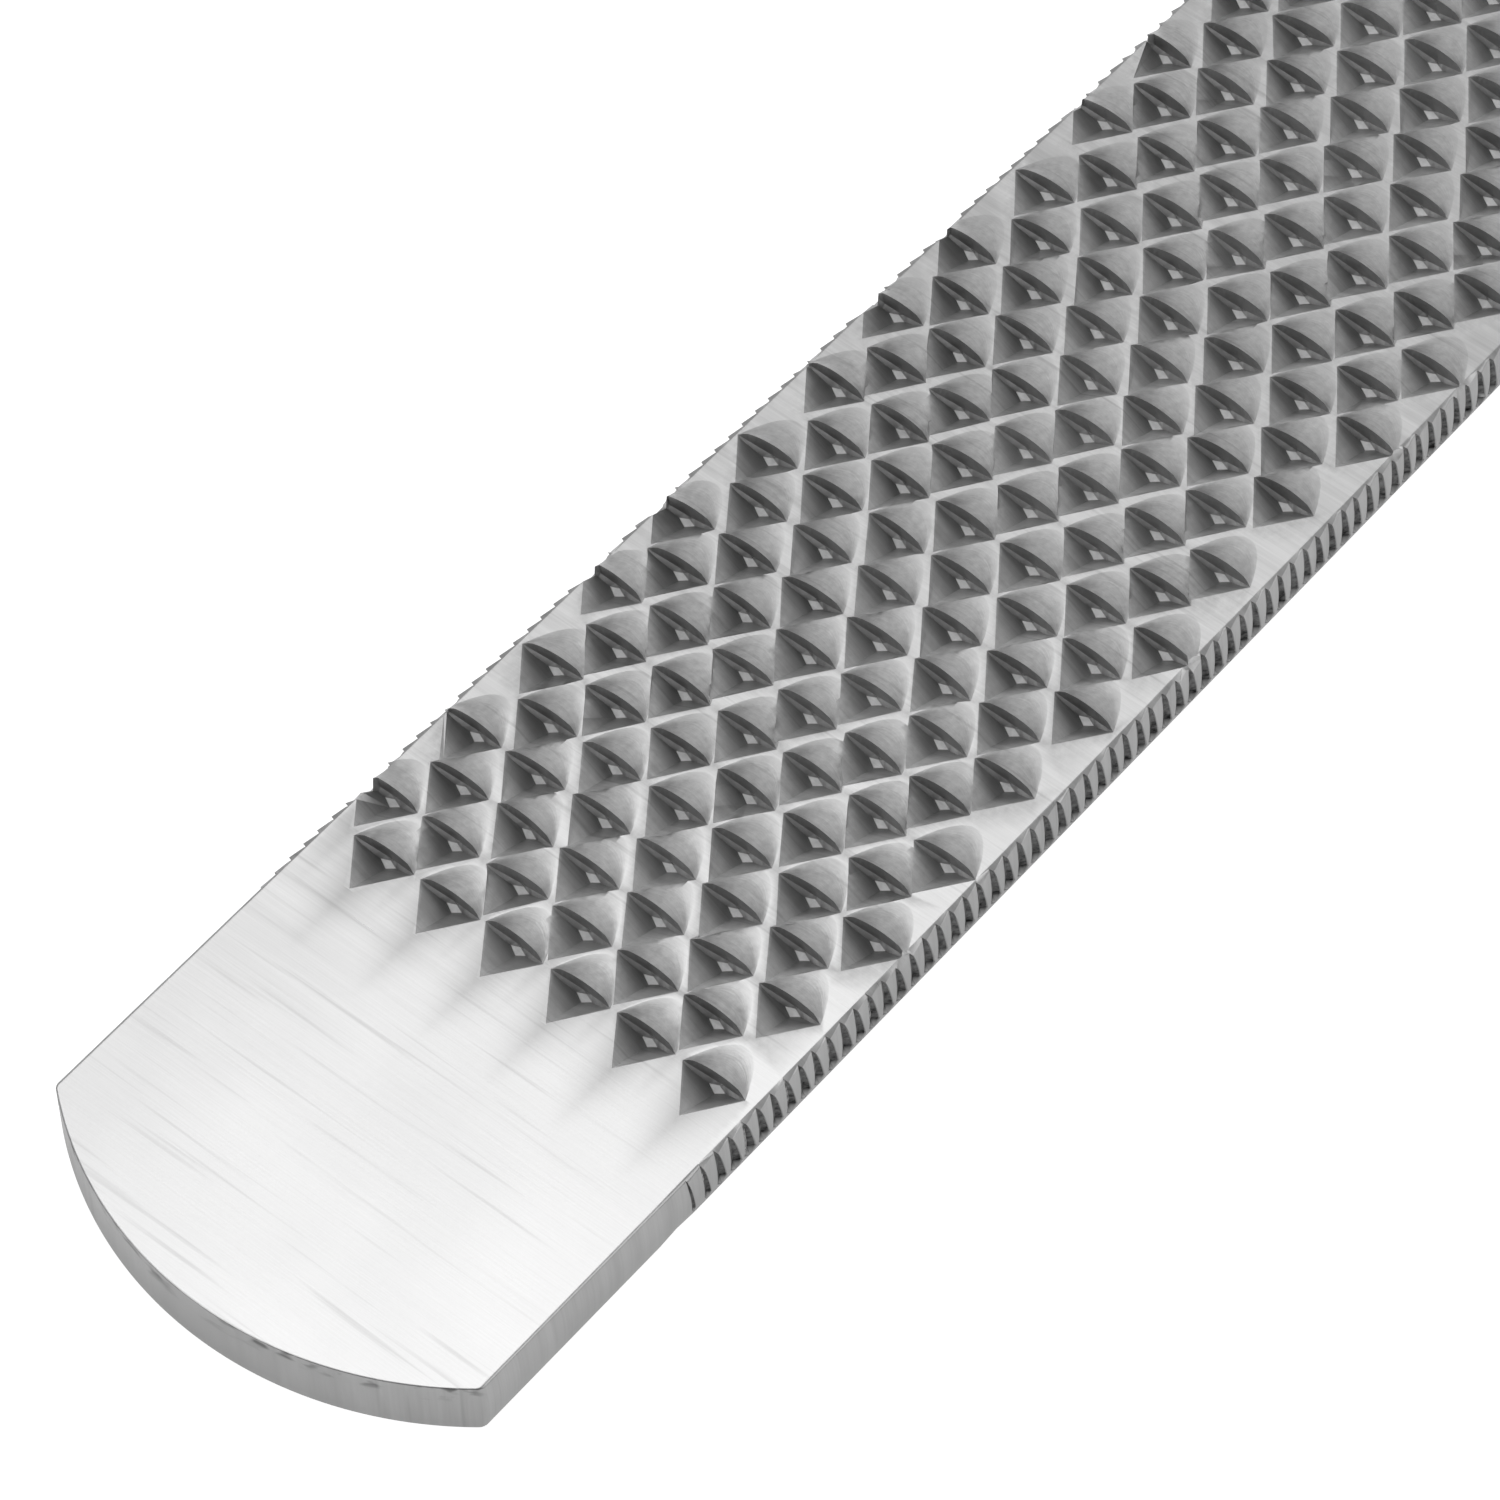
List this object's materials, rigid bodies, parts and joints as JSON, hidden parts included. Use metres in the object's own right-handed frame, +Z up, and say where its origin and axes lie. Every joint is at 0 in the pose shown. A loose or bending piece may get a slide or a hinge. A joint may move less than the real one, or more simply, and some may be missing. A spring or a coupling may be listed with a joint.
{
  "type": "flat rasp",
  "caption": "Flat steel rasp with coarse raised teeth, single-cut sides, a blank arc-shaped tip and a turned wooden handle with a ferrule.",
  "frame": {"origin": "middle of the whole tool, on the blade's centre plane and the handle's axis", "axes": "+X runs from the rasp's tip to the butt of the handle, +Y across the blade, +Z up out of the toothed face"},
  "size_m": [0.488, 0.044, 0.0316],
  "materials": {
    "blade_steel": "cross-ground bright steel",
    "handle_wood": "oiled hardwood",
    "ferrule_brass": "spun brass, lightly worn",
    "brad_steel": "plain bright steel"
  },
  "bodies": {
    "root": {"rasp_blade": "blade_steel", "handle": "handle_wood", "ferrule": "ferrule_brass", "ferrule_brads": "brad_steel"}
  },
  "joints": []
}
